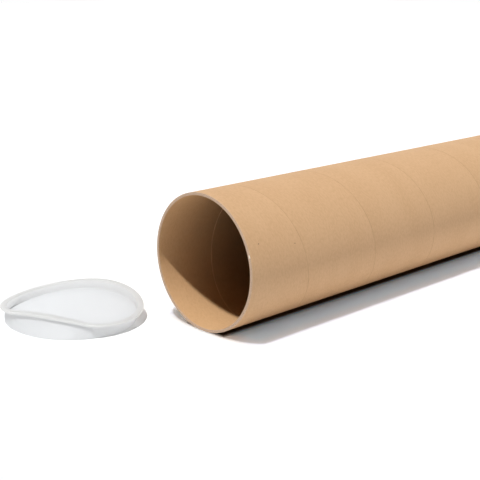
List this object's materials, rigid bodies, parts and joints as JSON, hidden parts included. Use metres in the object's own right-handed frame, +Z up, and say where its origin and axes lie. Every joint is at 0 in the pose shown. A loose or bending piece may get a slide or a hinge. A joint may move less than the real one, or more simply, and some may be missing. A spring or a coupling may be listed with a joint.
{
  "type": "cardboard mailing tube with two plastic end caps",
  "caption": "Long round kraft board tube on its side with an open mouth, a plastic plug cap in its far end and a bent plug cap lying loose beside the mouth.",
  "frame": {"origin": "centre of the tube's open mouth, on the plane of its cut end", "axes": "+X along the tube's axis from the open mouth to the capped end; +Z up; the floor touches the mouth's lowest point, z = -0.079375, and the lip of the fitted cap, which lifts the far end by 2.6 mm; the loose cap lies towards +Y"},
  "size_m": [1.073, 0.3099, 0.164],
  "materials": {
    "board": "smooth brown kraft paper ply wound in a spiral, matt, with the seam of the outer ply as a fine groove",
    "plastic": "milky white translucent polyethylene, satin"
  },
  "bodies": {
    "tube_and_loose_cap": {"tube": "board", "loose_cap": "plastic"},
    "fitted_cap": {"fitted_cap": "plastic"}
  },
  "joints": [
    {"name": "fitted_cap_pull", "type": "slide", "parent": "tube_and_loose_cap", "child": "fitted_cap", "axis": [1, 0, 0], "range_m": [0, 0.04]}
  ]
}
